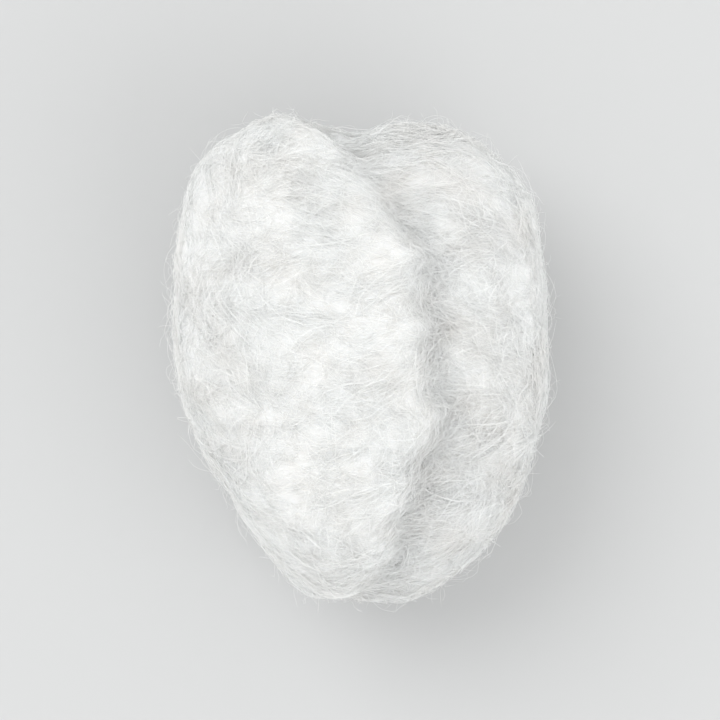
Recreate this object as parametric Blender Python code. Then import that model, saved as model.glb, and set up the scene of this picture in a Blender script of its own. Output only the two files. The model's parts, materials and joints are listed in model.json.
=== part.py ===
"""One cotton wool ball: a short length of carded cotton sliver rolled up on itself.

The roll lies on its side along Y, with its broad end at +Y. Its outer turn laps over the turn
below, so a crease runs along the crown and curls into both ends of the roll.
It rests on a small flat at z = 0, and the origin is at the foot, under the centre of its box.
Lengths are in metres and angles in radians.
"""

import math

import bmesh
import bpy
from mathutils import Matrix, Vector

# Overall size of the ball as it lies
BALL_LENGTH = 0.0362
BALL_WIDTH = 0.0278
BALL_HEIGHT = 0.0265

# The rolled form: each end's squareness (2 is an ellipse), and how much broader +Y is
BROAD_END_FULLNESS = 2.35
NARROW_END_FULLNESS = 2.0
BROAD_END_GAIN = 0.10

# How it lies: the narrow end dips, and the underside is pressed flat by the ball's own weight
LIE_ANGLE = math.radians(4.5)
FOOT_PRESS = 0.0015
FOOT_SOFTNESS = 0.0008

# The lap, where the loose end of the sliver lies over the turn below it
LAP_ANGLE = math.radians(31)
LAP_THICKNESS = 0.0017
LAP_TUCK = 0.0006
LAP_FADE_RADIUS = 0.0032
LIP_ROUNDING = 0.0029
CREASE_DEPTH = 0.0009
CREASE_RUNOUT = 0.0034

# The crease leans away from the crown towards both ends, then curls in to the roll's axis
LEAN_TO_BROAD_END = math.radians(27)
LEAN_TO_NARROW_END = math.radians(9)
LEAN_ONSET = 1.4
CURL_AT_BROAD_END = math.radians(150)
CURL_AT_NARROW_END = math.radians(130)
CURL_ONSET = 30.0

# The gathered ends of the roll: a hollow at the axis, and furrows that curl out of it
END_HOLLOW_DEPTH = 0.0018
END_HOLLOW_RADIUS = 0.0046
FURROW_COUNT = 4
FURROW_DEPTH = 0.0009
FURROW_TURN = math.radians(70)
FURROW_REACH = 0.0078
FURROW_START = 0.0034

# A second, shallow fold low on the outer turn, as a share of the way round to the crease
FOLD_POSITION = 0.42
FOLD_DRIFT = 0.06
FOLD_DEPTH = 0.0009
FOLD_WIDTH = 0.0024

# Low soft lumps: one wave a line, as its direction, wavelength, phase and height
LUMPS = (
    (Vector((0.80, 0.50, 0.30)), 0.0175, 0.4, 0.00026),
    (Vector((-0.45, 0.75, 0.50)), 0.0135, 2.1, 0.00022),
    (Vector((0.25, -0.60, 0.75)), 0.0105, 4.0, 0.00018),
)

# Flats pressed into the sides: each as its direction and its distance from the roll's middle
FLATS = (
    (Vector((1.0, 0.05, -0.05)), 0.0136),
    (Vector((-1.0, 0.03, 0.10)), 0.0137),
    (Vector((-0.83, -0.56, 0.05)), 0.0127),
    (Vector((-0.35, 0.80, -0.50)), 0.0158),
)
FLAT_SOFTNESS = 0.0036

# Mesh density: columns round the roll, crowded at the crease, and rings along it
COLUMNS = 84
RINGS = 54
CROWDING = 0.60

COTTON_WHITE = (0.93, 0.94, 0.91, 1.0)
COTTON_ROUGHNESS = 0.95

QUARTER_TURN = 0.5 * math.pi
FULL_TURN = 2.0 * math.pi
PROBE = 1e-3


def clear_scene():
    """Remove whatever the file held."""
    for old in list(bpy.data.objects):
        bpy.data.objects.remove(old, do_unlink=True)


def fall_off(distance, width):
    """A smooth hump: 1 at no distance, and next to nothing past twice the width."""
    return math.exp(-((distance / width) ** 2))


def soft_floor(value, floor, softness):
    """The larger of value and floor, with a rounded corner where the two meet."""
    overlap = max(softness - abs(value - floor), 0.0)
    return max(value, floor) + overlap * overlap / (4.0 * softness)


def by_end(latitude, at_broad_end, at_narrow_end):
    """The value that belongs to this half of the roll."""
    return at_broad_end if latitude > 0.0 else at_narrow_end


def lap_turn(latitude):
    """How far the crease has turned from the crown's side of the roll at this latitude."""
    nearness = abs(math.sin(latitude))
    lean = by_end(latitude, LEAN_TO_BROAD_END, LEAN_TO_NARROW_END) * nearness**LEAN_ONSET
    curl = by_end(latitude, CURL_AT_BROAD_END, CURL_AT_NARROW_END) * nearness**CURL_ONSET
    return lean + curl


def ring_at(latitude):
    """A ring's station along the roll, -1 to 1, and its radius as a share of the widest."""
    power = 2.0 / by_end(latitude, BROAD_END_FULLNESS, NARROW_END_FULLNESS)
    station = math.copysign(abs(math.sin(latitude)) ** power, latitude)
    across = max(math.cos(latitude), 0.0) ** power
    return station, across * (1.0 + BROAD_END_GAIN * station)


def plain_roll(around, latitude):
    """A point of the roll before it is creased. Around runs from 0 at the lap's lip, over the
    left side and under the roll, to 1 at the crease. The rings are ellipses that shrink
    towards both ends as a superellipse does."""
    station, share = ring_at(latitude)
    angle = LAP_ANGLE - lap_turn(latitude) - FULL_TURN * around
    across = 0.5 * BALL_WIDTH * share * math.sin(angle)
    along = 0.5 * BALL_LENGTH * station
    up = 0.5 * (BALL_HEIGHT + FOOT_PRESS) * share * math.cos(angle)
    return Vector((across, along, up))


def outward(around, latitude):
    """The plain roll's outward direction, from two short steps along its surface."""
    if abs(latitude) > QUARTER_TURN - 2.0 * PROBE:
        return Vector((0.0, math.copysign(1.0, latitude), 0.0))
    turned = plain_roll(around + PROBE, latitude) - plain_roll(around - PROBE, latitude)
    climbed = plain_roll(around, latitude + PROBE) - plain_roll(around, latitude - PROBE)
    return climbed.cross(turned).normalized()


def lap_height(around, ring_radius):
    """The outer turn's step: it thins from its lip round to the crease, where it lies on the
    turn below. The lip rolls down into the crease, and the crease runs out on the low side."""
    past_lip = around * FULL_TURN * ring_radius
    before_crease = (1.0 - around) * FULL_TURN * ring_radius
    fade = 1.0 - fall_off(ring_radius, LAP_FADE_RADIUS)
    thickness = LAP_THICKNESS * fade
    sunk = CREASE_DEPTH * fade
    spiral = thickness * (0.5 - around)
    lip = (thickness + sunk) * fall_off(past_lip, LIP_ROUNDING)
    runout = sunk * fall_off(before_crease, CREASE_RUNOUT)
    return spiral - lip - runout


def end_height(around, latitude, ring_radius):
    """The gathered ends: a hollow at the roll's axis, with furrows that curl out of it."""
    hollow = END_HOLLOW_DEPTH * fall_off(ring_radius, END_HOLLOW_RADIUS)
    start = 1.0 - fall_off(ring_radius, FURROW_START)
    strength = start * fall_off(ring_radius, FURROW_REACH)
    swirl = FURROW_COUNT * FULL_TURN * around + math.copysign(FURROW_TURN, latitude) * strength
    furrow = FURROW_DEPTH * strength * 0.5 * (1.0 - math.cos(swirl))
    return -hollow - furrow


def fold_height(around, latitude, ring_length):
    """A shallow fold that starts at the broad end and dies away towards the other."""
    bend = FOLD_POSITION + FOLD_DRIFT * math.sin(2.0 * latitude)
    fade = 0.5 + 0.5 * math.sin(latitude)
    return -FOLD_DEPTH * fade * fall_off((around - bend) * ring_length, FOLD_WIDTH)


def lump_height(point):
    """The soft unevenness of carded cotton, as a few slow waves through the ball."""
    height = 0.0
    for direction, wavelength, phase, lift in LUMPS:
        wave = point.dot(direction.normalized()) / wavelength
        height += lift * math.sin(FULL_TURN * wave + phase)
    return height


def pressed(point):
    """The point moved in by the flats on the ball's sides."""
    for direction, reach in FLATS:
        way = direction.normalized()
        height = point.dot(way)
        kept = -soft_floor(-height, -reach, FLAT_SOFTNESS)
        point = point + way * (kept - height)
    return point


def shaped_point(around, latitude):
    """A point of the finished ball's surface, before it is brought to size."""
    point = plain_roll(around, latitude)
    _, share = ring_at(latitude)
    ring_radius = 0.25 * share * (BALL_WIDTH + BALL_HEIGHT)
    ring_length = FULL_TURN * ring_radius
    height = lap_height(around, ring_radius)
    height += end_height(around, latitude, ring_radius)
    height += fold_height(around, latitude, ring_length)
    height += lump_height(point)
    point += outward(around, latitude) * height
    at_crease = share * fall_off(min(around, 1.0 - around) * ring_length, LIP_ROUNDING)
    tuck_way = Vector((math.cos(LAP_ANGLE), 0.0, -math.sin(LAP_ANGLE)))
    point -= tuck_way * LAP_TUCK * at_crease
    return pressed(point)


def crowded(share):
    """Moves an even share of the turn towards 0 and 1, so that columns crowd at the crease."""
    return share - CROWDING * math.sin(FULL_TURN * share) / FULL_TURN


def roll_mesh():
    """A sphere's mesh, laid along Y, with each vertex moved to its place on the ball."""
    work = bmesh.new()
    bmesh.ops.create_uvsphere(work, u_segments=COLUMNS, v_segments=RINGS, radius=1.0)
    for vertex in work.verts:
        latitude = math.asin(max(-1.0, min(1.0, vertex.co.z)))
        share = (math.atan2(vertex.co.y, vertex.co.x) / FULL_TURN) % 1.0
        vertex.co = shaped_point(crowded(share), latitude)
    return work


def lay_down(work):
    """Dip the narrow end, so that the tapered roll lies along its underside."""
    dip = Matrix.Rotation(LIE_ANGLE, 3, "X")
    bmesh.ops.rotate(work, verts=work.verts, cent=Vector(), matrix=dip)


def bring_to_size(work):
    """Centre the ball over the origin, and stretch it a little to its named sizes."""
    sizes = (BALL_WIDTH, BALL_LENGTH, BALL_HEIGHT + FOOT_PRESS)
    for axis, size in enumerate(sizes):
        least = min(vertex.co[axis] for vertex in work.verts)
        most = max(vertex.co[axis] for vertex in work.verts)
        for vertex in work.verts:
            vertex.co[axis] = size * ((vertex.co[axis] - least) / (most - least) - 0.5)


def set_on_foot(work):
    """Press the underside flat, and lift the ball so that the flat is at z = 0."""
    foot = 0.5 * (FOOT_PRESS - BALL_HEIGHT)
    softness = min(FOOT_SOFTNESS, 0.5 * FOOT_PRESS)
    for vertex in work.verts:
        vertex.co.z = soft_floor(vertex.co.z, foot, softness) - foot


def cotton_material():
    """Bleached cotton: nearly white and quite matt."""
    material = bpy.data.materials.new("bleached_cotton")
    material.use_nodes = True
    shader = material.node_tree.nodes["Principled BSDF"]
    shader.inputs["Base Color"].default_value = COTTON_WHITE
    shader.inputs["Roughness"].default_value = COTTON_ROUGHNESS
    shader.inputs["Metallic"].default_value = 0.0
    return material


def make_cotton_ball():
    """The ball as one smooth-shaded object."""
    work = roll_mesh()
    lay_down(work)
    bring_to_size(work)
    set_on_foot(work)
    if work.calc_volume(signed=True) < 0.0:
        bmesh.ops.reverse_faces(work, faces=work.faces)
    mesh = bpy.data.meshes.new("cotton_ball")
    work.to_mesh(mesh)
    work.free()
    mesh.shade_smooth()
    mesh.materials.append(cotton_material())
    ball = bpy.data.objects.new("cotton_ball", mesh)
    bpy.context.scene.collection.objects.link(ball)
    return ball


clear_scene()
make_cotton_ball()
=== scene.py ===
# %% [markdown]
# A cotton wool ball is a short length of carded cotton rolled up on itself. It has no skin: what
# we see is a mat of fine fibres with air between them. So the ball is made in two steps, first the
# soft body of the mat as one surface, and then real fibres that lie on it and stand off it.
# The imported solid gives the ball's box: the body fills it, and only fibres reach out of it.

import json
import math

import bpy
import numpy as np
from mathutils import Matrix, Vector

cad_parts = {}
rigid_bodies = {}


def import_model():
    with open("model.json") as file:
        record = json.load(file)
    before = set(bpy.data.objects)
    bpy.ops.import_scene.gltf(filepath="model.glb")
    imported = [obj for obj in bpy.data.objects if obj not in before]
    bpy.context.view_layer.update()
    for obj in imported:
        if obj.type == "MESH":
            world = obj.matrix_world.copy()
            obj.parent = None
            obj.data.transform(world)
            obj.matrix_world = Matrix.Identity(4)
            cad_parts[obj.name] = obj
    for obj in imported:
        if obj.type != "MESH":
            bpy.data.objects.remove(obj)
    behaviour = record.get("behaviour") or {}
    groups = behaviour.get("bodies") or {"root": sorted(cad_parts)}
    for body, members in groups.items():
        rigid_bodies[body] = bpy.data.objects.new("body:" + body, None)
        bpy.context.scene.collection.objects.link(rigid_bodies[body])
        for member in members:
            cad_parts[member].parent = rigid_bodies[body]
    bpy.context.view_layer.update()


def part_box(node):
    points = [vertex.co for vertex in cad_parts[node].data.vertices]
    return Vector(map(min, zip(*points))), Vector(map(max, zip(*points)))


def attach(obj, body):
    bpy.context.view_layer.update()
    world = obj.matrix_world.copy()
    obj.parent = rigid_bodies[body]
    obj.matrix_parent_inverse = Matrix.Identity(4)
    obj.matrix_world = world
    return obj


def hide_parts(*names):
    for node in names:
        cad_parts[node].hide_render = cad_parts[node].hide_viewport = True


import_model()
LOW, HIGH = (np.array(corner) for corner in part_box("cotton_ball"))
WIDTH, LENGTH, HEIGHT = HIGH - LOW
MM = 0.001
print("box of the ball in mm:", np.round((HIGH - LOW) / MM, 2))

# %% [markdown]
# The form is worked out from two parameters. Around runs once round the roll, from 0 at the lip
# of the outer turn to 1 at the crease beneath that lip. Latitude runs along the roll, from a
# quarter turn below zero at the narrow end to a quarter turn above it at the broad end.
# We could sculpt the ball by hand, but then the fibres would have nothing to follow. With a
# formula, any fibre can be laid along the surface by walking through the two parameters.

# %% Rings of the roll
BROAD_END_FULLNESS = 2.35
NARROW_END_FULLNESS = 2.0
BROAD_END_GAIN = 0.10
FULL_TURN = 2.0 * math.pi
QUARTER_TURN = 0.5 * math.pi


def by_end(latitude, at_broad_end, at_narrow_end):
    """The value that belongs to this half of the roll."""
    return np.where(latitude > 0.0, at_broad_end, at_narrow_end)


def ring_at(latitude):
    """A ring's station along the roll, -1 to 1, and its radius as a share of the widest: the
    sine and cosine of the latitude, each to the power of 2 over the end's fullness. The share
    gains evenly with the station, so that one end is broad."""
    power = 2.0 / by_end(latitude, BROAD_END_FULLNESS, NARROW_END_FULLNESS)
    station = np.copysign(np.abs(np.sin(latitude)) ** power, latitude)
    across = np.maximum(np.cos(latitude), 0.0) ** power
    return station, across * (1.0 + BROAD_END_GAIN * station)


print("the broad end is", round(1.0 + BROAD_END_GAIN, 2), "times as wide as a plain roll's")

# %% [markdown]
# The crease is what makes the ball look rolled. On the real one it is where the loose end of the
# sliver lies on the turn below. Along the crown it leans over in a wide bow, and at each end it
# curls in to the roll's axis. It could be cut into the mesh afterwards, but then the mesh would
# have to be fine everywhere. Here the columns of the mesh turn with the crease instead.

# %% The crease and the plain roll
LAP_ANGLE = math.radians(31)
LEAN_TO_BROAD_END = math.radians(27)
LEAN_TO_NARROW_END = math.radians(9)
LEAN_ONSET = 1.4
CURL_AT_BROAD_END = math.radians(150)
CURL_AT_NARROW_END = math.radians(130)
CURL_ONSET = 30.0
WANDER = (
    (math.radians(2.2), 9.0, 0.7),
    (math.radians(1.3), 21.0, 2.1),
    (math.radians(0.6), 47.0, 4.4),
)
WANDER_FADE = 4
FOOT_PRESS = 1.5 * MM
PROBE = 1e-3
LEAST_LENGTH = 1e-12


def lap_turn(latitude):
    """How far the crease has turned: a slow lean and a sudden curl, each a power of the sine,
    and a wander of three sine waves, because a torn edge is never quite straight."""
    nearness = np.abs(np.sin(latitude))
    lean = by_end(latitude, LEAN_TO_BROAD_END, LEAN_TO_NARROW_END) * nearness**LEAN_ONSET
    curl = by_end(latitude, CURL_AT_BROAD_END, CURL_AT_NARROW_END) * nearness**CURL_ONSET
    wander = sum(swing * np.sin(waves * latitude + phase) for swing, waves, phase in WANDER)
    return lean + curl + wander * (1.0 - nearness**WANDER_FADE)


def plain_roll(around, latitude):
    """A point on rings of ellipses that shrink to both ends, before any crease. The angle of
    its ellipse runs backwards from the lap, less what the crease has turned there."""
    station, share = ring_at(latitude)
    angle = LAP_ANGLE - lap_turn(latitude) - FULL_TURN * around
    across = 0.5 * WIDTH * share * np.sin(angle)
    along = 0.5 * LENGTH * station
    up = 0.5 * (HEIGHT + FOOT_PRESS) * share * np.cos(angle)
    return np.stack(np.broadcast_arrays(across, along, up), axis=-1)


def unit(vectors):
    """Each vector over its own length."""
    return vectors / np.maximum(np.linalg.norm(vectors, axis=-1, keepdims=True), LEAST_LENGTH)


def tangents(around, latitude):
    """How a point of the plain roll moves for each unit of around and of latitude."""
    turned = plain_roll(around + PROBE, latitude) - plain_roll(around - PROBE, latitude)
    climbed = plain_roll(around, latitude + PROBE) - plain_roll(around, latitude - PROBE)
    return turned / (2.0 * PROBE), climbed / (2.0 * PROBE)


def outward(around, latitude):
    """The plain roll's outward direction: the cross product of its two tangents, or straight
    along the roll at its poles."""
    turned, climbed = tangents(around, latitude)
    sideways = unit(np.cross(climbed, turned))
    pole = np.stack(np.broadcast_arrays(0.0 * around, np.sign(latitude), 0.0 * latitude), axis=-1)
    at_pole = np.abs(latitude) > QUARTER_TURN - 2.0 * PROBE
    return np.where(at_pole[..., None], pole, sideways)


print("the crease leans", round(math.degrees(LEAN_TO_BROAD_END)), "degrees to the broad end")

# %% [markdown]
# Cotton is uneven at every scale: soft lumps half a centimetre wide, wrinkles where the turns
# have shifted, and streaks where fibres lie side by side. Each is a noise of its own. Blended
# random numbers would show the squares of their grid, so each point of the grid gets a random
# slope instead, which hides it. The wrapped kind is stretched round the roll, because that is
# the way the fibres run.

# %% Noise
LATTICE = 32
NOISE_GAIN = 1.7


def lattice_noise(cells, seed, turns=LATTICE):
    """A random slope at each whole coordinate, blended between them by 3t squared less 2t
    cubed along each axis. The first coordinate repeats after the given number of cells."""
    slopes = unit(np.random.default_rng(seed).normal(size=(turns, LATTICE, LATTICE, 3)))
    whole = np.floor(cells).astype(int)
    part = cells - whole
    blend = part * part * (3.0 - 2.0 * part)
    total = 0.0
    for corner in np.ndindex(2, 2, 2):
        at = whole + corner
        weight = np.prod(np.where(corner, blend, 1.0 - blend), axis=-1)
        slope = slopes[at[..., 0] % turns, at[..., 1] % LATTICE, at[..., 2] % LATTICE]
        total = total + weight * np.sum(slope * (part - corner), axis=-1)
    return NOISE_GAIN * total


def lump_noise(points, size, seed):
    """Noise with the same size of lump in every direction."""
    return lattice_noise(points / size + LATTICE, seed)


def wrapped_noise(around, points, turns, size, seed):
    """Noise in cells that are long round the roll and narrow across it: the coordinates are
    the turn, the place along the roll and the distance from its axis."""
    radius = np.hypot(points[..., 0], points[..., 2])
    cells = np.stack((around * turns, points[..., 1] / size, radius / size), axis=-1)
    return lattice_noise(cells + LATTICE * turns, seed, turns)


print("a noise repeats after", LATTICE, "of its cells")

# %% [markdown]
# The relief adds four such noises. Where the rings shrink to a point at each end, it dies away,
# or the columns of the mesh would pinch it there.

# %% The relief of the mat
LUMP_SIZE = 5.6 * MM
LUMP_HEIGHT = 0.48 * MM
WRINKLE_TURNS = 6
WRINKLE_SIZE = 3.1 * MM
WRINKLE_DEPTH = 0.30 * MM
WRINKLE_ROUNDING = 0.06
WRINKLE_MIDDLE = 0.6
STREAK_TURNS = 18
STREAK_SIZE = 0.80 * MM
STREAK_HEIGHT = 0.05 * MM
NEP_SIZE = 1.3 * MM
NEP_HEIGHT = 0.09 * MM
CALM_RADIUS = 1.6 * MM


def fall_off(distance, width):
    """A smooth hump: e to the minus square of distance over width."""
    return np.exp(-((distance / width) ** 2))


def relief(around, latitude, points):
    """The height of lumps, wrinkles, streaks and small knots. A wrinkle is a fold in the noise:
    the square root of its size, so that it is sharp at the bottom and broad between."""
    lumps = LUMP_HEIGHT * lump_noise(points, LUMP_SIZE, seed=3)
    fold = np.abs(wrapped_noise(around, points, WRINKLE_TURNS, WRINKLE_SIZE, seed=8))
    wrinkles = WRINKLE_DEPTH * (np.sqrt(fold + WRINKLE_ROUNDING) - WRINKLE_MIDDLE)
    streaks = STREAK_HEIGHT * wrapped_noise(around, points, STREAK_TURNS, STREAK_SIZE, seed=15)
    neps = NEP_HEIGHT * lump_noise(points, NEP_SIZE, seed=21)
    ring_radius = 0.5 * WIDTH * ring_at(latitude)[1]
    return (lumps + wrinkles + streaks + neps) * (1.0 - fall_off(ring_radius, CALM_RADIUS))


print("relief, from lumps of", round(LUMP_SIZE / MM, 1), "mm to streaks", round(STREAK_SIZE / MM, 1))

# %% [markdown]
# Now the creased form itself. The outer turn thins from its lip round to the crease, as a spiral
# does. The lip rolls down into the crease, and the crease runs out on the low side. Each end has
# a hollow at the axis, with furrows that curl out of it, where the sliver was gathered. Seen from
# above, the broad end also has a notch between its two lobes, where the crease goes over.

# %% The creased form
LAP_THICKNESS = 1.7 * MM
LAP_FADE_RADIUS = 3.2 * MM
LIP_ROUNDING = 2.9 * MM
CREASE_DEPTH = 0.9 * MM
CREASE_RUNOUT = 3.4 * MM
END_HOLLOW_DEPTH = 1.8 * MM
END_HOLLOW_RADIUS = 4.6 * MM
FURROW_COUNT = 4
FURROW_DEPTH = 0.9 * MM
FURROW_TURN = math.radians(70)
FURROW_REACH = 7.8 * MM
FURROW_START = 3.4 * MM
FOLD_POSITION = 0.42
FOLD_DRIFT = 0.06
FOLD_DEPTH = 0.9 * MM
FOLD_WIDTH = 2.4 * MM
NOTCH_DEPTH = 1.7 * MM
NOTCH_PLACE = -0.8 * MM
NOTCH_WIDTH = 2.0 * MM
NOTCH_ONSET = 6


def lap_height(around, ring_radius):
    """The spiral's step: thickness times a half less around, less a hump at the lip, less a
    hump on the low side of the crease."""
    past_lip = around * FULL_TURN * ring_radius
    before_crease = (1.0 - around) * FULL_TURN * ring_radius
    fade = 1.0 - fall_off(ring_radius, LAP_FADE_RADIUS)
    spiral = LAP_THICKNESS * fade * (0.5 - around)
    lip = (LAP_THICKNESS + CREASE_DEPTH) * fade * fall_off(past_lip, LIP_ROUNDING)
    runout = CREASE_DEPTH * fade * fall_off(before_crease, CREASE_RUNOUT)
    return spiral - lip - runout


def end_height(around, latitude, ring_radius):
    """A hump downwards at the axis, and a wave round the ring that is turned as it nears it."""
    hollow = END_HOLLOW_DEPTH * fall_off(ring_radius, END_HOLLOW_RADIUS)
    start = 1.0 - fall_off(ring_radius, FURROW_START)
    strength = start * fall_off(ring_radius, FURROW_REACH)
    swirl = FURROW_COUNT * FULL_TURN * around + np.sign(latitude) * FURROW_TURN * strength
    return -hollow - FURROW_DEPTH * strength * 0.5 * (1.0 - np.cos(swirl))


def fold_height(around, latitude, ring_radius):
    """A shallow fold low on the outer turn: a hump downwards, whole at the broad end and gone
    at the narrow one, by half of one more than the sine of the latitude."""
    bend = FOLD_POSITION + FOLD_DRIFT * np.sin(2.0 * latitude)
    fade = 0.5 + 0.5 * np.sin(latitude)
    beside = (around - bend) * FULL_TURN * ring_radius
    return -FOLD_DEPTH * fade * fall_off(beside, FOLD_WIDTH)


def notch_height(latitude, across):
    """A groove down the broad end: a hump downwards, times the sine of the latitude to the
    power of its onset."""
    onset = np.maximum(np.sin(latitude), 0.0) ** NOTCH_ONSET
    return -NOTCH_DEPTH * onset * fall_off(across - NOTCH_PLACE, NOTCH_WIDTH)


print("the lap stands", round((LAP_THICKNESS + CREASE_DEPTH) / MM, 1), "mm over the crease's bottom")

# %% [markdown]
# A ball of cotton that has been squeezed keeps soft flats on its sides. A flat is a limit on how
# far the surface may reach in one direction, with the corner rounded. With the flats, all that
# shapes the ball is there, and it can be put together.

# %% Flats and the whole form
FLATS = (
    (np.array((1.0, 0.05, -0.05)), 13.6 * MM),
    (np.array((-1.0, 0.03, 0.10)), 13.7 * MM),
    (np.array((-0.83, -0.56, 0.05)), 12.7 * MM),
    (np.array((-0.35, 0.80, -0.50)), 15.8 * MM),
    (np.array((0.42, 0.91, 0.0)), 18.2 * MM),
)
FLAT_SOFTNESS = 3.6 * MM
LAP_TUCK = 0.6 * MM
MEAN_RADIUS = 0.25 * (WIDTH + HEIGHT)
LIE_ANGLE = math.radians(4.5)
DIP = np.array(
    (
        (1.0, 0.0, 0.0),
        (0.0, math.cos(LIE_ANGLE), -math.sin(LIE_ANGLE)),
        (0.0, math.sin(LIE_ANGLE), math.cos(LIE_ANGLE)),
    )
)


def soft_floor(value, floor, softness):
    """The larger of value and floor, with a parabola that rounds the corner between them."""
    overlap = np.maximum(softness - np.abs(value - floor), 0.0)
    return np.maximum(value, floor) + overlap**2 / (4.0 * softness)


def pressed(points):
    """Points moved in along each flat's direction to its reach."""
    for direction, reach in FLATS:
        way = unit(direction)
        height = points @ way
        kept = -soft_floor(-height, -reach, FLAT_SOFTNESS)
        points = points + (kept - height)[..., None] * way
    return points


def unsized_ball(around, latitude):
    """The creased, uneven and pressed form, with its narrow end dipped, and where it faces.
    Beside the crease it is tucked sideways beneath the lip, by a hump."""
    plain = plain_roll(around, latitude)
    facing = outward(around, latitude)
    ring_radius = MEAN_RADIUS * ring_at(latitude)[1]
    turn = around % 1.0
    height = lap_height(turn, ring_radius) + end_height(turn, latitude, ring_radius)
    height = height + fold_height(turn, latitude, ring_radius) + relief(turn, latitude, plain)
    height = height + notch_height(latitude, plain[..., 0])
    points = plain + height[..., None] * facing
    to_crease = np.minimum(turn, 1.0 - turn) * FULL_TURN * ring_radius
    at_crease = ring_at(latitude)[1] * fall_off(to_crease, LIP_ROUNDING)
    tuck_way = np.array((math.cos(LAP_ANGLE), 0.0, -math.sin(LAP_ANGLE)))
    points = points - LAP_TUCK * at_crease[..., None] * tuck_way
    return pressed(points) @ DIP.T, facing @ DIP.T


print(len(FLATS), "flats, the first", round(FLATS[0][1] / MM, 1), "mm from the middle")

# %% [markdown]
# The grid's columns crowd at the crease, where the form bends most. A rough grid first measures
# the form, so that it can be stretched to fill the solid's box exactly. Its lowest part is
# pressed in to a small flat, on which the ball rests. From then on, ball_surface gives any point
# of the ball in its place.

# %% Grids and the finished surface
CROWDING = 0.55
ROUGH_COLUMNS = 400
ROUGH_RINGS = 200
FOOT_SOFTNESS = 0.8 * MM


def even_grid(columns, rings):
    """Around and latitude at the columns and rings of a mesh, without the two poles. Around is
    the column's share of the turn, less a sine that crowds the columns at both ends of it."""
    share = np.arange(columns) / columns
    crowded = share - CROWDING * np.sin(FULL_TURN * share) / FULL_TURN
    latitude = np.linspace(-QUARTER_TURN, QUARTER_TURN, rings + 1)[1:-1]
    return np.meshgrid(crowded, latitude)


rough, _ = unsized_ball(*even_grid(ROUGH_COLUMNS, ROUGH_RINGS))
ROUGH_LOW = rough.min(axis=(0, 1))
ROUGH_SIZE = rough.max(axis=(0, 1)) - ROUGH_LOW
FULL_SIZE = np.array((WIDTH, LENGTH, HEIGHT + FOOT_PRESS))


def ball_surface(around, latitude):
    """The finished surface, stretched to its full size and standing on its foot, and the way
    that it faces."""
    points, facing = unsized_ball(around, latitude)
    points = ((points - ROUGH_LOW) / ROUGH_SIZE - 0.5) * FULL_SIZE
    foot = 0.5 * (FOOT_PRESS - HEIGHT)
    points[..., 2] = soft_floor(points[..., 2], foot, FOOT_SOFTNESS) - foot
    return points, facing


print("stretched by", np.round(FULL_SIZE / ROUGH_SIZE, 3))

# %% [markdown]
# The body's mesh is a grid of quads round the roll and along it, closed by a fan at each pole.
# Each piece also gets a flat map of its faces, so that its finish could be painted on a picture,
# and the body gets a second set of coordinates that follow the way its fibres run.

# %% The body's mesh
COLUMNS = 410
RINGS = 170


def placed(name, data):
    """A new object in the scene that holds this mesh, lamp or camera."""
    holder = bpy.data.objects.new(name, data)
    bpy.context.scene.collection.objects.link(holder)
    return holder


def new_piece(name, points, faces, material, unfolded):
    """A smooth-shaded object at the origin, with its place in its mesh, and a flat map of its
    faces' corners."""
    mesh = bpy.data.meshes.new(name)
    mesh.from_pydata(points.tolist(), [], faces)
    mesh.shade_smooth()
    mesh.materials.append(material)
    mesh.uv_layers.new(name="OFBake").data.foreach_set("uv", unfolded.ravel())
    piece = placed(name, mesh)
    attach(piece, "root")
    return piece


def body_arrays():
    """Points of the grid with the two poles last, its quads and fans, and the flat map, which
    has the share of the turn one way and the share of the rings the other way."""
    around, latitude = even_grid(COLUMNS, RINGS)
    points, _ = ball_surface(around, latitude)
    ends, _ = ball_surface(np.zeros(2), np.array((-QUARTER_TURN, QUARTER_TURN)))
    rows = points.shape[0]
    number = np.arange(rows * COLUMNS).reshape(rows, COLUMNS)
    onward = np.roll(number, -1, axis=1)
    quads = np.stack((number[:-1], number[1:], onward[1:], onward[:-1]), axis=-1).reshape(-1, 4)
    south = np.stack((np.full(COLUMNS, rows * COLUMNS), number[0], onward[0]), axis=-1)
    north = np.stack((np.full(COLUMNS, rows * COLUMNS + 1), onward[-1], number[-1]), axis=-1)
    left, row = np.meshgrid(np.arange(COLUMNS) / COLUMNS, np.arange(1, rows) / RINGS)
    right = left + 1.0 / COLUMNS
    above = row + 1.0 / RINGS
    quad_map = np.stack((left, row, left, above, right, above, right, row), axis=-1)
    left, right = left[0], right[0]
    low, high = np.full(COLUMNS, 1.0 / RINGS), np.full(COLUMNS, 1.0 - 1.0 / RINGS)
    south_map = np.stack((left, 0.0 * left, left, low, right, low), axis=-1)
    north_map = np.stack((left, 0.0 * left + 1.0, right, high, left, high), axis=-1)
    unfolded = np.concatenate([part.reshape(-1, 2) for part in (quad_map, south_map, north_map)])
    faces = quads.tolist() + south.tolist() + north.tolist()
    return np.concatenate((points.reshape(-1, 3), ends)), faces, unfolded


def add_grain(piece):
    """An attribute with each point's distance round the roll, along it and from its axis."""
    around, _ = even_grid(COLUMNS, RINGS)
    points = np.empty(len(piece.data.vertices) * 3, np.float32)
    piece.data.vertices.foreach_get("co", points)
    points = points.reshape(-1, 3)
    radius = np.hypot(points[:, 0], points[:, 2] - 0.5 * HEIGHT)
    turned = np.append(around.ravel(), (0.0, 0.0)) * FULL_TURN * radius
    grain = np.stack((turned, points[:, 1], radius), axis=-1).astype(np.float32)
    attribute = piece.data.attributes.new("grain", "FLOAT_VECTOR", "POINT")
    attribute.data.foreach_set("vector", grain.ravel())


body_points, body_faces, body_map = body_arrays()
print("body:", len(body_points), "points and", len(body_faces), "faces")

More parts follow.
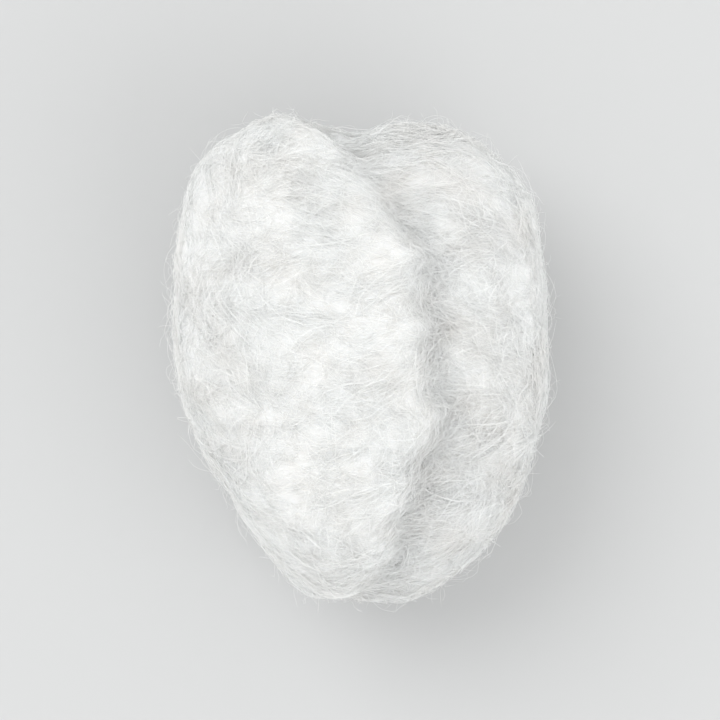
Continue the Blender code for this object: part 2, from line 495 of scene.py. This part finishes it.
# %% [markdown]
# Bleached cotton is nearly white and quite matt, and its white drifts very slightly between cool
# and warm. A single flat white would look like plaster. A node group makes that drift, so that
# the body and the fibres share it, each with a brightness of its own.

# %% A white that drifts
COOL_WHITE = (0.975, 0.985, 0.978, 1.0)
WARM_WHITE = (0.962, 0.960, 0.944, 1.0)


def new_group(name, takes, gives):
    """An empty node group with its sockets, and its node for each side."""
    group = bpy.data.node_groups.new(name, "ShaderNodeTree")
    for socket, kind in takes:
        group.interface.new_socket(name=socket, in_out="INPUT", socket_type=kind)
    for socket, kind in gives:
        group.interface.new_socket(name=socket, in_out="OUTPUT", socket_type=kind)
    return group, group.nodes.new("NodeGroupInput"), group.nodes.new("NodeGroupOutput")


def noise(group, vector, scale, detail, roughness=0.5):
    """A noise texture in a group, on a vector and scale from other sockets."""
    texture = group.nodes.new("ShaderNodeTexNoise")
    texture.inputs["Detail"].default_value = detail
    texture.inputs["Roughness"].default_value = roughness
    group.links.new(vector, texture.inputs["Vector"])
    group.links.new(scale, texture.inputs["Scale"])
    return texture


def drift_group():
    """Puts out a white that drifts between warm and cool, times a brightness."""
    group, given, put = new_group(
        "white_drift",
        (("Vector", "NodeSocketVector"), ("Patch Scale", "NodeSocketFloat"),
         ("Brightness", "NodeSocketFloat")),
        (("Color", "NodeSocketColor"),),
    )
    patches = noise(group, given.outputs["Vector"], given.outputs["Patch Scale"], detail=3.0)
    contrast = group.nodes.new("ShaderNodeMapRange")
    contrast.inputs["From Min"].default_value = 0.3
    contrast.inputs["From Max"].default_value = 0.6
    white = group.nodes.new("ShaderNodeMix")
    white.data_type = "RGBA"
    white.inputs["A"].default_value = WARM_WHITE
    white.inputs["B"].default_value = COOL_WHITE
    group.links.new(patches.outputs["Fac"], contrast.inputs["Value"])
    group.links.new(contrast.outputs["Result"], white.inputs["Factor"])
    dimmed = group.nodes.new("ShaderNodeVectorMath")
    dimmed.operation = "SCALE"
    group.links.new(white.outputs["Result"], dimmed.inputs[0])
    group.links.new(given.outputs["Brightness"], dimmed.inputs["Scale"])
    group.links.new(dimmed.outputs["Vector"], put.inputs["Color"])
    return group


DRIFT = drift_group()
print("white_drift has", len(DRIFT.nodes), "nodes")

# %% [markdown]
# Between the fibres that are meshes we see countless finer ones, felted together. They would be
# far too many to model, so they are a height in the body's normal. A single stretched noise would
# look combed, like wood. Three of them, turned apart and bent, cross as felt does.

# %% Felted strands
STRAND_STRETCH = (0.12, 1.0, 1.0)
STRAND_TURNS = (-35.0, 8.0, 50.0)


def strands_group():
    """Puts out the height of felted strands: three noises, each stretched along its own
    direction and bent by a slow noise, and the highest of them wins."""
    group, given, put = new_group(
        "felted_strands",
        (("Vector", "NodeSocketVector"), ("Strand Scale", "NodeSocketFloat"),
         ("Bend Scale", "NodeSocketFloat"), ("Bend", "NodeSocketFloat")),
        (("Height", "NodeSocketFloat"),),
    )
    slow = noise(group, given.outputs["Vector"], given.outputs["Bend Scale"], detail=2.0)
    middle = group.nodes.new("ShaderNodeVectorMath")
    middle.operation = "SUBTRACT"
    middle.inputs[1].default_value = (0.5, 0.5, 0.5)
    bent = group.nodes.new("ShaderNodeVectorMath")
    bent.operation = "SCALE"
    joined = group.nodes.new("ShaderNodeVectorMath")
    joined.operation = "ADD"
    group.links.new(slow.outputs["Color"], middle.inputs[0])
    group.links.new(middle.outputs["Vector"], bent.inputs[0])
    group.links.new(given.outputs["Bend"], bent.inputs["Scale"])
    group.links.new(given.outputs["Vector"], joined.inputs[0])
    group.links.new(bent.outputs["Vector"], joined.inputs[1])
    highest = None
    for degrees in STRAND_TURNS:
        turned = group.nodes.new("ShaderNodeVectorRotate")
        turned.rotation_type = "Z_AXIS"
        turned.inputs["Angle"].default_value = math.radians(degrees)
        stretched = group.nodes.new("ShaderNodeVectorMath")
        stretched.operation = "MULTIPLY"
        stretched.inputs[1].default_value = STRAND_STRETCH
        group.links.new(joined.outputs["Vector"], turned.inputs["Vector"])
        group.links.new(turned.outputs["Vector"], stretched.inputs[0])
        scale = given.outputs["Strand Scale"]
        strand = noise(group, stretched.outputs["Vector"], scale, detail=2.0, roughness=0.6)
        if highest is None:
            highest = strand.outputs["Fac"]
            continue
        higher = group.nodes.new("ShaderNodeMath")
        higher.operation = "MAXIMUM"
        group.links.new(highest, higher.inputs[0])
        group.links.new(strand.outputs["Fac"], higher.inputs[1])
        highest = higher.outputs["Value"]
    group.links.new(highest, put.inputs["Height"])
    return group


STRANDS = strands_group()
print("felted_strands has", len(STRANDS.nodes), "nodes")

# %% [markdown]
# Light goes into the mat and comes out a little way off, so its shadows are pale and soft. That
# is subsurface scattering, which only the body has: a fibre is too thin for it. The body is also
# painted a little darker than the fibres: that is painted shade for the depth of the mat, where
# less light comes back between the fibres, and it is what lets the fibres show.

# %% The cotton's finish
PATCH_SCALE = 1.0 / (3.8 * MM)
STRAND_SCALE = 1.0 / (0.20 * MM)
STRAND_HEIGHT = 0.20 * MM
BEND_SCALE = 1.0 / (1.9 * MM)
BEND_REACH = 1.1 * MM


def cotton_material(name, brightness):
    """A matt Principled shader whose white drifts with the place on the ball."""
    material = bpy.data.materials.new(name)
    material.use_nodes = True
    nodes, links = material.node_tree.nodes, material.node_tree.links
    shader = nodes["Principled BSDF"]
    shader.inputs["Roughness"].default_value = 0.92
    shader.inputs["Specular IOR Level"].default_value = 0.15
    shader.inputs["Sheen Weight"].default_value = 0.25
    shader.inputs["Sheen Roughness"].default_value = 0.6
    place = nodes.new("ShaderNodeTexCoord")
    drift = nodes.new("ShaderNodeGroup")
    drift.node_tree = DRIFT
    drift.inputs["Patch Scale"].default_value = PATCH_SCALE
    drift.inputs["Brightness"].default_value = brightness
    links.new(place.outputs["Object"], drift.inputs["Vector"])
    links.new(drift.outputs["Color"], shader.inputs["Base Color"])
    return material


def let_light_in(material, share, depth):
    """This share of the light goes in, and comes out again about as far away as the depth."""
    shader = material.node_tree.nodes["Principled BSDF"]
    shader.inputs["Subsurface Weight"].default_value = share
    shader.inputs["Subsurface Radius"].default_value = (1.0, 0.97, 0.92)
    shader.inputs["Subsurface Scale"].default_value = depth


def add_strands(material):
    """Felted strands in the normal, laid along the piece's own grain."""
    nodes, links = material.node_tree.nodes, material.node_tree.links
    grain = nodes.new("ShaderNodeAttribute")
    grain.attribute_name = "grain"
    strands = nodes.new("ShaderNodeGroup")
    strands.node_tree = STRANDS
    strands.inputs["Strand Scale"].default_value = STRAND_SCALE
    strands.inputs["Bend Scale"].default_value = BEND_SCALE
    strands.inputs["Bend"].default_value = BEND_REACH
    bump = nodes.new("ShaderNodeBump")
    bump.inputs["Distance"].default_value = STRAND_HEIGHT
    links.new(grain.outputs["Vector"], strands.inputs["Vector"])
    links.new(strands.outputs["Height"], bump.inputs["Height"])
    links.new(bump.outputs["Normal"], nodes["Principled BSDF"].inputs["Normal"])


# The body's brightness of 0.85 is painted shade for the depth of the mat between the fibres.
painted_shade_body_finish = cotton_material("matted_cotton_painted_shade", brightness=0.85)
let_light_in(painted_shade_body_finish, share=0.6, depth=1.0 * MM)
add_strands(painted_shade_body_finish)
fibre_finish = cotton_material("cotton_fibre", brightness=1.0)
body = new_piece("cotton_body", body_points, body_faces, painted_shade_body_finish, body_map)
add_grain(body)
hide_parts("cotton_ball")
print("finishes:", painted_shade_body_finish.name, "and", fibre_finish.name)

# %% [markdown]
# Now the fibres. Each starts at a random place, spread evenly over the surface, and walks along
# it in small steps. A hair system would be quicker, but it isn't a mesh, and these are meshes.

# %% Where fibres start and how they walk
START_COLUMNS = 240
START_RINGS = 160
START_LIMIT = QUARTER_TURN - 0.01
WALK_LIMIT = QUARTER_TURN - 0.02
UNDERSIDE_FACING = -0.75
UNDERSIDE_SHARE = 0.33
LEAST_PACE_AROUND = 5.0 * MM
LEAST_PACE_ALONG = 2.0 * MM


def even_starts(count, rng):
    """Around and latitude of points spread evenly: cells of a grid are drawn by their area.
    Beneath the ball, where it is pressed flat, a third as many are enough."""
    around, latitude = even_grid(START_COLUMNS, START_RINGS)
    turned, climbed = tangents(around, latitude)
    area = np.linalg.norm(np.cross(turned, climbed), axis=-1)
    column_turn = FULL_TURN * np.arange(START_COLUMNS) / START_COLUMNS
    area = area * (1.0 - CROWDING * np.cos(column_turn))
    beneath = outward(around, latitude)[..., 2] < UNDERSIDE_FACING
    area = area * np.where(beneath, UNDERSIDE_SHARE, 1.0)
    drawn = rng.choice(area.size, size=count, p=area.ravel() / area.sum())
    jitter = rng.uniform(-0.5, 0.5, (2, count))
    start_around = around.ravel()[drawn] + jitter[0] / START_COLUMNS
    start_latitude = latitude.ravel()[drawn] + jitter[1] * math.pi / START_RINGS
    return start_around, np.clip(start_latitude, -START_LIMIT, START_LIMIT)


def walk(around, latitude, heading, bend, length, steps):
    """Each fibre's path in around and latitude. A step goes the same distance on the surface
    wherever it is, because it is divided by how fast the surface passes there."""
    path = [(around, latitude)]
    step = length / steps
    for _ in range(steps):
        turned, climbed = tangents(around, latitude)
        pace_around = np.maximum(np.linalg.norm(turned, axis=-1), LEAST_PACE_AROUND)
        pace_along = np.maximum(np.linalg.norm(climbed, axis=-1), LEAST_PACE_ALONG)
        around = around + step * np.cos(heading) / pace_around
        latitude = latitude + step * np.sin(heading) / pace_along
        latitude = np.clip(latitude, -WALK_LIMIT, WALK_LIMIT)
        heading = heading + bend * step
        path.append((around, latitude))
    arounds, latitudes = zip(*path)
    return np.stack(arounds, axis=1), np.stack(latitudes, axis=1)


print("fibres start in", START_COLUMNS * (START_RINGS - 1), "cells of the surface")

# %% [markdown]
# A path becomes a fibre when it is laid on the ball. A real fibre is springy, so it bridges the
# small hollows, and it rises, dips and sways as it goes.

# %% How fibres lie
MOST_BRIDGED = 0.45 * MM
BRIDGED_SHARE = (0.15, 0.85)


def way_along(rings_each):
    """The share of the way along a fibre, from 0 to 1, at its rings and both end points."""
    return np.linspace(0.0, 1.0, rings_each + 2)[None, :]


def arch(share):
    """Half a sine wave: 0 at both ends and 1 in the middle."""
    return np.sin(math.pi * share)


def laid_on(rng, path_around, path_latitude):
    """Points of the paths on the ball, the way it faces there and the way sideways. A fibre is
    too stiff to follow every hollow: where the straight line between its ends passes above
    the surface, it is lifted towards that line, though never far."""
    points, facing = ball_surface(path_around, path_latitude)
    share = way_along(points.shape[1] - 2)[..., None]
    straight = points[:, :1] + share * (points[:, -1:] - points[:, :1])
    hollow = np.clip(np.sum((straight - points) * facing, axis=-1), 0.0, MOST_BRIDGED)
    lift = rng.uniform(*BRIDGED_SHARE, (len(points), 1)) * hollow
    points = points + lift[..., None] * facing
    along = unit(np.gradient(points, axis=1))
    return points, facing, unit(np.cross(along, facing))


print("a fibre is lifted", round(MOST_BRIDGED / MM, 2), "mm at most over a hollow")

# %% [markdown]
# The mesh of a fibre is a thin tube of three sides that closes to a point at both ends. Three
# sides are the fewest that have a body, and so thin a thing shows no more. The tubes of a piece
# are all worked out at once, as rows of one array.

# %% Tubes
SIDES = 3
FLOOR_GAP = 0.05 * MM
LOWEST_CORNER = 0.2 * FLOOR_GAP
THICKNESS_RANGE = (0.7, 1.3)


def tube_points(points, facing, radius):
    """Closed tubes along rows of points: rings at the inner points, and a single point at each
    end. A ring lies across its fibre's direction."""
    count, length = points.shape[:2]
    along = unit(np.gradient(points, axis=1))
    side = unit(np.cross(along, facing))
    up = np.cross(side, along)
    angles = FULL_TURN * np.arange(SIDES) / SIDES
    ring = side[:, 1:-1, None] * np.cos(angles)[:, None] + up[:, 1:-1, None] * np.sin(angles)[:, None]
    rings = points[:, 1:-1, None] + radius[:, None, None, None] * ring
    corners = rings.reshape(count, (length - 2) * SIDES, 3)
    return np.concatenate((corners, points[:, :1], points[:, -1:]), axis=1).reshape(-1, 3)


def tube_faces(count, rings_each):
    """Quads between the rings and triangles to the two end points, for every tube."""
    ring = np.arange(rings_each - 1)[:, None] * SIDES
    next_ring = ring + SIDES
    corner = np.arange(SIDES)[None, :]
    onward = (corner + 1) % SIDES
    quads = (ring + corner, ring + onward, next_ring + onward, next_ring + corner)
    last = (rings_each - 1) * SIDES
    first_tip = rings_each * SIDES
    tips = [(first_tip, (i + 1) % SIDES, i) for i in range(SIDES)]
    tips += [(first_tip + 1, last + i, last + (i + 1) % SIDES) for i in range(SIDES)]
    offset = (np.arange(count) * (first_tip + 2))[:, None, None]
    all_quads = (np.stack(quads, axis=-1).reshape(-1, 4) + offset).reshape(-1, 4)
    all_tips = (np.array(tips) + offset).reshape(-1, 3)
    return all_quads.tolist() + all_tips.tolist()


def tube_map(count, rings_each):
    """A flat map that gives each tube a small square of its own, in the order of tube_faces:
    one way is along the fibre, the other is round it."""
    squares_a_side = math.ceil(math.sqrt(count))
    ring = (np.arange(rings_each - 1)[:, None] + 1.0) / (rings_each + 1)
    next_ring = ring + 1.0 / (rings_each + 1)
    corner = np.arange(SIDES)[None, :] / SIDES + 0.0 * ring
    onward = corner + 1.0 / SIDES
    ring, next_ring = ring + 0.0 * corner, next_ring + 0.0 * corner
    quads = np.stack((ring, corner, ring, onward, next_ring, onward, next_ring, corner), axis=-1)
    low, high = 1.0 / (rings_each + 1), rings_each / (rings_each + 1.0)
    tips = [((0.0, i / SIDES), (low, (i + 1) / SIDES), (low, i / SIDES)) for i in range(SIDES)]
    tips += [((1.0, i / SIDES), (high, i / SIDES), (high, (i + 1) / SIDES)) for i in range(SIDES)]
    column, row = np.arange(count) % squares_a_side, np.arange(count) // squares_a_side
    square = np.stack((column, row), axis=-1)[:, None, :]
    quad_map = (quads.reshape(-1, 2)[None] + square) / squares_a_side
    tip_map = (np.array(tips).reshape(-1, 2)[None] + square) / squares_a_side
    return np.concatenate((quad_map.reshape(-1, 2), tip_map.reshape(-1, 2)))


def fibre_piece(name, rng, laid, height, sway, radius):
    """One object of many tubes along the laid paths, raised by the height and moved sideways
    by the sway, and none of them lower than what the ball rests on."""
    points, facing, aside = laid
    points = points + height[..., None] * facing + sway[..., None] * aside
    points[..., 2] = np.maximum(points[..., 2], FLOOR_GAP)
    corners = tube_points(points, facing, radius * rng.uniform(*THICKNESS_RANGE, len(points)))
    corners[:, 2] = np.maximum(corners[:, 2], LOWEST_CORNER)
    shape = len(points), points.shape[1] - 2
    piece = new_piece(name, corners, tube_faces(*shape), fibre_finish, tube_map(*shape))
    triangles = sum(len(polygon.vertices) - 2 for polygon in piece.data.polygons)
    print(name, "has", len(points), "fibres and", triangles, "triangles")


print("a tube of 4 rings has", len(tube_faces(1, 4)), "faces")

# %% [markdown]
# Most fibres lie matted on the body. Carding combs them into locks, so those that start near each
# other set off in nearly the same direction, and a few of them hang together as a wisp. There
# are three layers: each has larger wisps than the one before, and longer fibres that rise higher
# and stray further. Bends are angles for each millimetre of the way.

# %% Matted fibres
GIRTH = FULL_TURN * 0.5 * WIDTH
LOCK_SIZE = 3.4 * MM
TUFT_SIZE = 1.5 * MM
TUFT_SHARE = 0.6
COMBED_WAY = math.radians(10)
WISP_STRAY = math.radians(16)
WISP_BEND = math.radians(10)
WISP_BEND_TAILS = 2.5
WISP_WIDTH = 0.45 * MM
FIBRE_STRAY = math.radians(13)
FIBRE_BEND = math.radians(8)
LENGTH_RANGE = (0.5, 1.3)
RISE_RANGE = (0.5, 1.5)
MATTED_DEPTH = 0.07 * MM
MATTED_SWAY = 0.10 * MM
CRIMP = 0.03 * MM
MATTED_RADIUS = 0.018 * MM
FIBRES_A_LAYER = 7920


def matted_fibres(name, seed, wisps, fibres_each, rings_each, length, lift, spread):
    """Fibres in wisps: those of one wisp start beside each other, go the same way and bend
    alike. Most wisps bend slightly and a few a lot, because their bends are drawn from a bell
    curve with long tails. Each fibre rises as an arch, with a crimp of its own."""
    rng = np.random.default_rng(seed)
    count = wisps * fibres_each
    around, latitude = even_starts(wisps, rng)
    plain = plain_roll(around, latitude)
    lock = lump_noise(plain, LOCK_SIZE, seed + 50)
    lock = lock + TUFT_SHARE * lump_noise(plain, TUFT_SIZE, seed + 51)
    heading = COMBED_WAY + spread * lock + rng.normal(0.0, WISP_STRAY, wisps)
    heading = heading + math.pi * rng.integers(0, 2, wisps)
    bend = WISP_BEND * rng.standard_t(WISP_BEND_TAILS, wisps) / MM
    rise = rng.uniform(*lift, wisps)
    around, latitude, heading, bend, rise = (
        np.repeat(values, fibres_each) for values in (around, latitude, heading, bend, rise)
    )
    around = around + rng.normal(0.0, WISP_WIDTH, count) / GIRTH
    latitude = latitude + rng.normal(0.0, WISP_WIDTH, count) / (0.5 * LENGTH)
    latitude = np.clip(latitude, -WALK_LIMIT, WALK_LIMIT)
    heading = heading + rng.normal(0.0, FIBRE_STRAY, count)
    bend = bend + rng.normal(0.0, FIBRE_BEND, count) / MM
    lengths = length * rng.uniform(*LENGTH_RANGE, count)
    laid = laid_on(rng, *walk(around, latitude, heading, bend, lengths, rings_each + 1))
    rise = (rise * rng.uniform(*RISE_RANGE, count))[:, None]
    sway = rng.normal(0.0, MATTED_SWAY, (count, rings_each + 2))
    height = -MATTED_DEPTH + rise * arch(way_along(rings_each)) + rng.normal(0.0, CRIMP, sway.shape)
    fibre_piece(name, rng, laid, height, sway, MATTED_RADIUS)


for layer, fibres_each in enumerate((3, 5, 8)):
    matted_fibres(
        f"matted_fibres_{layer + 1}",
        seed=100 + 7 * layer,
        wisps=FIBRES_A_LAYER // fibres_each,
        fibres_each=fibres_each,
        rings_each=4,
        length=(4.8 + 0.6 * layer) * MM,
        lift=(0.02 * MM, (0.12 + 0.16 * layer) * MM),
        spread=math.radians(55 + 20 * layer),
    )

# %% [markdown]
# Across the crease lie fibres that belong to both sides, because the loose end was never cut:
# it was torn off, and its fibres caught on the turn below. They start on the outer turn, cross
# the crease and end beyond it. Without them the lip would look like a moulded edge.

# %% Crease fibres
CREASE_SINE_LIMIT = 0.97
LEAST_RING_SHARE = 0.2
CREASE_STARTS = (0.2 * MM, 3.6 * MM)
CREASE_STRAY = math.radians(50)
CREASE_BEND = math.radians(24)
CREASE_LENGTHS = (1.8 * MM, 5.2 * MM)
CREASE_RISES = (0.02 * MM, 0.5 * MM)
CREASE_WAVES = (0.5, 2.2)
CREASE_SWAY = 0.20 * MM
CREASE_RADIUS = 0.012 * MM
ROOT_DEPTH = 0.08 * MM


def crease_fibres(name, seed, count, rings_each):
    """Fibres that start up to a few millimetres from the lip and head over it. The arcsine of
    an even draw spreads them evenly along the roll."""
    rng = np.random.default_rng(seed)
    latitude = np.arcsin(rng.uniform(-CREASE_SINE_LIMIT, CREASE_SINE_LIMIT, count))
    ring_length = GIRTH * np.maximum(ring_at(latitude)[1], LEAST_RING_SHARE)
    around = rng.uniform(*CREASE_STARTS, count) / ring_length
    heading = math.pi + rng.normal(0.0, CREASE_STRAY, count)
    bend = rng.normal(0.0, CREASE_BEND, count) / MM
    lengths = rng.uniform(*CREASE_LENGTHS, count)
    laid = laid_on(rng, *walk(around, latitude, heading, bend, lengths, rings_each + 1))
    share = way_along(rings_each)
    rise = rng.uniform(*CREASE_RISES, count)[:, None]
    wave = rng.uniform(*CREASE_WAVES, (count, 1))
    phase = rng.uniform(0.0, FULL_TURN, (count, 1))
    sway = CREASE_SWAY * np.sin(FULL_TURN * wave * share + phase)
    fibre_piece(name, rng, laid, rise * arch(share) - ROOT_DEPTH, sway, CREASE_RADIUS)


crease_fibres("crease_fibres", seed=300, count=1500, rings_each=7)

# %% [markdown]
# At each end the fibres run every way over the hollow. Steps of around and latitude are no good
# there, because all turns meet at the axis. So these paths are drawn on a flat disc across the
# roll, and each point of the disc is then looked up on the surface in a table of latitudes.

# %% End fibres
END_LATITUDES = np.linspace(QUARTER_TURN, 0.4, 300)
END_REACH = 6.5 * MM
END_WISP_WIDTH = 0.4 * MM
END_STRAY = math.radians(15)
END_BEND = math.radians(22)
END_LENGTHS = (2.0 * MM, 5.0 * MM)
END_RISES = (0.05 * MM, 0.5 * MM)
END_SWAY = 0.09 * MM
END_RADIUS = 0.017 * MM


def place_on_end(across, up, end):
    """Around and latitude of the plain roll's point this far across and up, at the broad end
    for end 1 and at the narrow end for end -1."""
    across, up = 2.0 * across / WIDTH, 2.0 * up / (HEIGHT + FOOT_PRESS)
    shares = ring_at(end * END_LATITUDES)[1]
    latitude = end * np.interp(np.hypot(across, up), shares, END_LATITUDES)
    around = (LAP_ANGLE - lap_turn(latitude) - np.arctan2(across, up)) / FULL_TURN
    return around, latitude


def end_fibres(name, end, seed, wisps, fibres_each, rings_each):
    """Fibres in wisps on a disc across the roll, that bend as they go: each point is the sum of
    the steps before it. The root of an even draw spreads their starts evenly over the disc."""
    rng = np.random.default_rng(seed)
    count = wisps * fibres_each
    radius = END_REACH * np.sqrt(rng.uniform(0.0, 1.0, wisps))
    angle = rng.uniform(0.0, FULL_TURN, wisps)
    across, up = (np.repeat(radius * turn, fibres_each) for turn in (np.cos(angle), np.sin(angle)))
    across = across + rng.normal(0.0, END_WISP_WIDTH, count)
    up = up + rng.normal(0.0, END_WISP_WIDTH, count)
    heading = np.repeat(rng.uniform(0.0, FULL_TURN, wisps), fibres_each)
    heading = heading + rng.normal(0.0, END_STRAY, count)
    bend = np.repeat(rng.normal(0.0, END_BEND, wisps), fibres_each) / MM
    lengths = rng.uniform(*END_LENGTHS, count)
    share = way_along(rings_each)
    way = heading[:, None] + bend[:, None] * lengths[:, None] * share
    step = lengths[:, None] / (rings_each + 1)
    across = across[:, None] + step * (np.cumsum(np.cos(way), axis=1) - 0.5 * rings_each)
    up = up[:, None] + step * (np.cumsum(np.sin(way), axis=1) - 0.5 * rings_each)
    laid = laid_on(rng, *place_on_end(across, up, end))
    rise = rng.uniform(*END_RISES, count)[:, None]
    height = -MATTED_DEPTH + rise * arch(share) + rng.normal(0.0, CRIMP, way.shape)
    sway = rng.normal(0.0, END_SWAY, way.shape)
    fibre_piece(name, rng, laid, height, sway, END_RADIUS)


end_fibres("broad_end_fibres", 1.0, seed=340, wisps=170, fibres_each=6, rings_each=4)
end_fibres("narrow_end_fibres", -1.0, seed=341, wisps=170, fibres_each=6, rings_each=4)

# %% [markdown]
# Some fibres have come loose: many short ends, and fewer that stand off the ball in long arcs.
# They make the soft outline that tells us this is cotton. Each starts in the mat, rises along a
# curve that mostly gets steeper towards its free end, and curls on its way.

# %% Loose fibres
LOOSE_BEND = math.radians(18)
REACH_POWER = 2.4
RISE_POWERS = (0.8, 2.4)
LOOPED_SHARE = 0.45
LOOP_RISE = 0.7
CURL_WAVES = (0.6, 2.4)
SWING_RANGE = (0.15, 1.0)


def loose_fibres(name, seed, count, rings_each, length, reach, swing, radius):
    """Fibres with one free end: the height over the surface is the share of the way out to a
    power, and two slow waves of their own make each one curl. Nearly half are loops. An even
    draw to a power makes most of them reach less far than the few."""
    rng = np.random.default_rng(seed)
    around, latitude = even_starts(count, rng)
    heading = rng.uniform(0.0, FULL_TURN, count)
    bend = rng.normal(0.0, LOOSE_BEND, count) / MM
    path = walk(around, latitude, heading, bend, rng.uniform(*length, count), rings_each + 1)
    laid = laid_on(rng, *path)
    share = way_along(rings_each)
    low, high = reach
    far = low + (high - low) * rng.uniform(0.0, 1.0, count)[:, None] ** REACH_POWER
    rise = far * share ** rng.uniform(*RISE_POWERS, count)[:, None]
    looped = rng.uniform(0.0, 1.0, count)[:, None] < LOOPED_SHARE
    rise = np.where(looped, LOOP_RISE * far * arch(share), rise)
    waves = rng.uniform(*CURL_WAVES, (count, 2))
    phases = rng.uniform(0.0, FULL_TURN, (count, 2))
    swings = swing * rng.uniform(*SWING_RANGE, (count, 2))
    sway = swings[:, :1] * np.sin(FULL_TURN * waves[:, :1] * share + phases[:, :1])
    bob = swings[:, 1:] * np.sin(FULL_TURN * waves[:, 1:] * share + phases[:, 1:]) * share
    fibre_piece(name, rng, laid, rise + bob - ROOT_DEPTH, sway, radius)


loose_fibres(
    "loose_fibres",
    seed=400,
    count=2000,
    rings_each=8,
    length=(2.0 * MM, 7.0 * MM),
    reach=(0.30 * MM, 1.8 * MM),
    swing=0.38 * MM,
    radius=0.010 * MM,
)
loose_fibres(
    "short_fuzz",
    seed=410,
    count=3700,
    rings_each=3,
    length=(0.9 * MM, 2.4 * MM),
    reach=(0.15 * MM, 0.90 * MM),
    swing=0.12 * MM,
    radius=0.010 * MM,
)

# %% [markdown]
# The ball lies on a plain pale floor. White cotton on a white floor would lose its outline, so
# the floor is a light grey.

# %% The floor
FLOOR_COLOUR = np.array((0.584, 0.590, 0.590))
FLOOR_HALF = 4.0


def make_floor():
    """A wide plane at the height of the ball's foot, in a plain pale colour."""
    sides = ((-1, -1), (1, -1), (1, 1), (-1, 1))
    corners = [(x * FLOOR_HALF, y * FLOOR_HALF, 0.0) for x, y in sides]
    mesh = bpy.data.meshes.new("floor")
    mesh.from_pydata(corners, [], [(0, 1, 2, 3)])
    material = bpy.data.materials.new("pale_floor")
    material.use_nodes = True
    shader = material.node_tree.nodes["Principled BSDF"]
    shader.inputs["Base Color"].default_value = (*FLOOR_COLOUR, 1.0)
    shader.inputs["Roughness"].default_value = 1.0
    shader.inputs["Specular IOR Level"].default_value = 0.0
    mesh.materials.append(material)
    placed("floor", mesh)


make_floor()
print("the floor is", 2.0 * FLOOR_HALF, "m wide")

# %% [markdown]
# The light is that of a white tent, whose walls are brighter than its top, with a wide soft light
# at the upper left and a weaker one at the lower right, so that no side goes grey. Wide suns are
# used for both, because a sun lights the floor evenly out to its far edge. The backdrop is given
# the floor's own colour in that light, so that no horizon shows. All of it together is a third
# stronger than a flat white needs, because fibres shade each other and a mat of them looks darker
# than its colour. The floor's colour is written that much darker.

# %% The light
TENT_WALLS = 1.32
TENT_TOP = 0.77
SUNS = {
    "key": (np.array((-0.45, 0.42, 0.79)), math.radians(40), 1.05),
    "fill": (np.array((0.62, -0.55, 0.56)), math.radians(60), 0.65),
}


def light_level():
    """How bright a flat white floor is: a third of the tent's walls and two thirds of its top,
    and each sun's strength times the height of its direction, over pi."""
    level = TENT_WALLS / 3.0 + TENT_TOP * 2.0 / 3.0
    for way, _, strength in SUNS.values():
        level = level + strength * unit(way)[2] / math.pi
    return level


def make_sky():
    """A white light from all round, whose strength falls evenly with the height of the way it
    comes from. The camera and any mirrored or transmitted ray see a plain backdrop instead."""
    world = bpy.data.worlds.new("light_tent")
    world.use_nodes = True
    bpy.context.scene.world = world
    nodes, links = world.node_tree.nodes, world.node_tree.links
    light = nodes["Background"]
    light.inputs["Color"].default_value = (1.0, 1.0, 1.0, 1.0)
    way = nodes.new("ShaderNodeTexCoord")
    parts = nodes.new("ShaderNodeSeparateXYZ")
    strength = nodes.new("ShaderNodeMapRange")
    strength.inputs["To Min"].default_value = TENT_WALLS
    strength.inputs["To Max"].default_value = TENT_TOP
    links.new(way.outputs["Generated"], parts.inputs["Vector"])
    links.new(parts.outputs["Z"], strength.inputs["Value"])
    links.new(strength.outputs["Result"], light.inputs["Strength"])
    backdrop = nodes.new("ShaderNodeBackground")
    backdrop.inputs["Color"].default_value = (*FLOOR_COLOUR * light_level(), 1.0)
    path = nodes.new("ShaderNodeLightPath")
    seen = path.outputs["Is Camera Ray"]
    for ray in ("Is Glossy Ray", "Is Transmission Ray"):
        either = nodes.new("ShaderNodeMath")
        either.operation = "MAXIMUM"
        links.new(seen, either.inputs[0])
        links.new(path.outputs[ray], either.inputs[1])
        seen = either.outputs["Value"]
    mixed = nodes.new("ShaderNodeMixShader")
    links.new(seen, mixed.inputs["Fac"])
    links.new(light.outputs["Background"], mixed.inputs[1])
    links.new(backdrop.outputs["Background"], mixed.inputs[2])
    links.new(mixed.outputs["Shader"], nodes["World Output"].inputs["Surface"])


def make_sun(name, way, width, strength):
    """A sun that shines from the given way, as wide as a soft box."""
    lamp = bpy.data.lights.new(name, "SUN")
    lamp.angle = width
    lamp.energy = strength
    holder = placed(name, lamp)
    holder.rotation_euler = Vector(-way).to_track_quat("-Z", "Y").to_euler()


make_sky()
for name, sun in SUNS.items():
    make_sun(name, *sun)
print("a white floor would render at", round(light_level(), 3))

# %% [markdown]
# The camera looks straight down on the ball, from far enough away that the sides don't spread.

# %% The camera
def make_camera(lens, height):
    """A long lens that looks straight down, with the broad end up in the picture."""
    camera = bpy.data.cameras.new("camera")
    camera.lens = lens
    camera.clip_start = 0.001
    holder = placed("camera", camera)
    holder.location = (0.0, 0.0, height)
    bpy.context.scene.camera = holder


make_camera(lens=200.0, height=0.315)
bpy.context.scene.view_settings.view_transform = "Standard"
print("the camera is", round(bpy.context.scene.camera.location.z, 3), "m above the floor")
